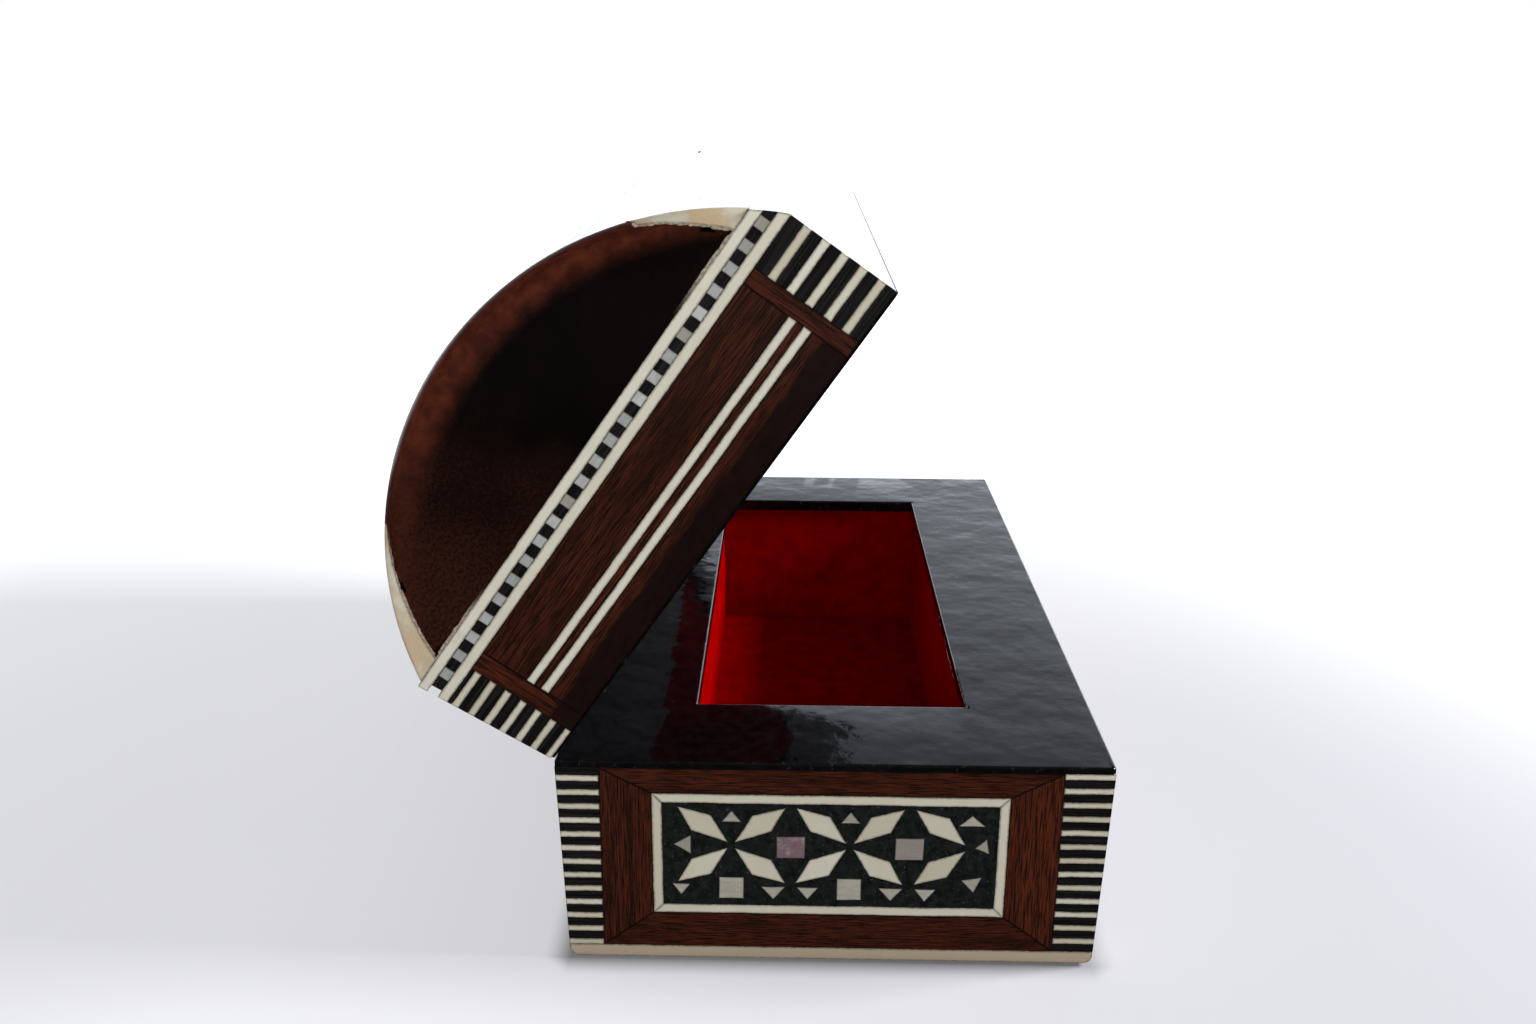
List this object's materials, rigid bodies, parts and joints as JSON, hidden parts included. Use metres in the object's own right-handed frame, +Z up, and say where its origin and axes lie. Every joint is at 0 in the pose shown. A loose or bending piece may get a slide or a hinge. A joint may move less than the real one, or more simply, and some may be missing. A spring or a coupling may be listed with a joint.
{
  "type": "inlaid wooden box",
  "caption": "Small rectangular wooden chest with a hollow domed lid on brass hinges, bone and mother-of-pearl inlay outside, black lacquered rims and a red lined well.",
  "frame": {"origin": "middle of the underside, on the surface the box stands on", "axes": "+X along the box, towards the end that the picture hides; +Y towards the hinged rear; +Z up"},
  "size_m": [0.16, 0.1138, 0.1226],
  "materials": {
    "core_wood": "plain softwood carcass, hidden under the inlay",
    "rosewood": "reddish brown rosewood-like rails with straight dark grain, lacquered",
    "dark_burl": "very dark mottled brown wood under gloss lacquer",
    "black_lacquer": "thick black gloss lacquer with slight waves",
    "red_velvet": "short red velvet",
    "black_felt": "thin black felt",
    "black_resin": "black filler sanded flush",
    "bone": "polished bone, slightly streaked, aged along the edges",
    "mother_of_pearl": "mother-of-pearl, grey-white with pink and green sheen",
    "brass": "small brass hinges, dulled"
  },
  "bodies": {
    "base": {"base_bone_band": "bone", "base_bone_petals": "bone", "base_bone_stringing": "bone", "base_corner_black_slips": "black_resin", "base_corner_bone_slips": "bone", "base_far_end_lining": "red_velvet", "base_far_end_rails": "rosewood", "base_far_end_resin": "black_resin", "base_far_end_wall": "core_wood", "base_floor_board": "core_wood", "base_floor_lining": "red_velvet", "base_front_lining": "red_velvet", "base_front_rails": "rosewood", "base_front_resin": "black_resin", "base_front_wall": "core_wood", "base_hinge_leaves": "brass", "base_hinge_screws": "brass", "base_near_end_lining": "red_velvet", "base_near_end_rails": "rosewood", "base_near_end_resin": "black_resin", "base_near_end_wall": "core_wood", "base_pearl_tiles": "mother_of_pearl", "base_rear_lining": "red_velvet", "base_rear_rails": "rosewood", "base_rear_resin": "black_resin", "base_rear_wall": "core_wood", "base_rim_plate": "black_lacquer", "hinge_pins": "brass", "underside_felt": "black_felt"},
    "lid": {"lid_bone_lines": "bone", "lid_bone_strings": "bone", "lid_ceiling_lining": "red_velvet", "lid_chequer_black": "black_resin", "lid_chequer_pearl": "mother_of_pearl", "lid_corner_black_slips": "black_resin", "lid_corner_bone_slips": "bone", "lid_dome_edge_bone": "bone", "lid_dome_shell": "core_wood", "lid_far_end_board": "core_wood", "lid_far_end_dome_panel": "dark_burl", "lid_far_end_lining": "red_velvet", "lid_far_end_rails": "rosewood", "lid_front_lining": "red_velvet", "lid_front_rails": "rosewood", "lid_front_wall": "core_wood", "lid_hinge_leaves": "brass", "lid_hinge_screws": "brass", "lid_near_end_board": "core_wood", "lid_near_end_dome_panel": "dark_burl", "lid_near_end_lining": "red_velvet", "lid_near_end_rails": "rosewood", "lid_rear_lining": "red_velvet", "lid_rear_rails": "rosewood", "lid_rear_wall": "core_wood", "lid_rim_plate": "black_lacquer", "lid_top_bone_strips": "bone", "lid_top_pearl_tiles": "mother_of_pearl", "lid_top_petals": "bone", "lid_top_rails": "rosewood", "lid_top_resin": "black_resin"}
  },
  "joints": [
    {"name": "lid_hinge", "type": "hinge", "parent": "base", "child": "lid", "pos_m": [0, 0.0445, 0.0366], "axis": [-1, 0, 0], "range_deg": [-55, 45]}
  ]
}
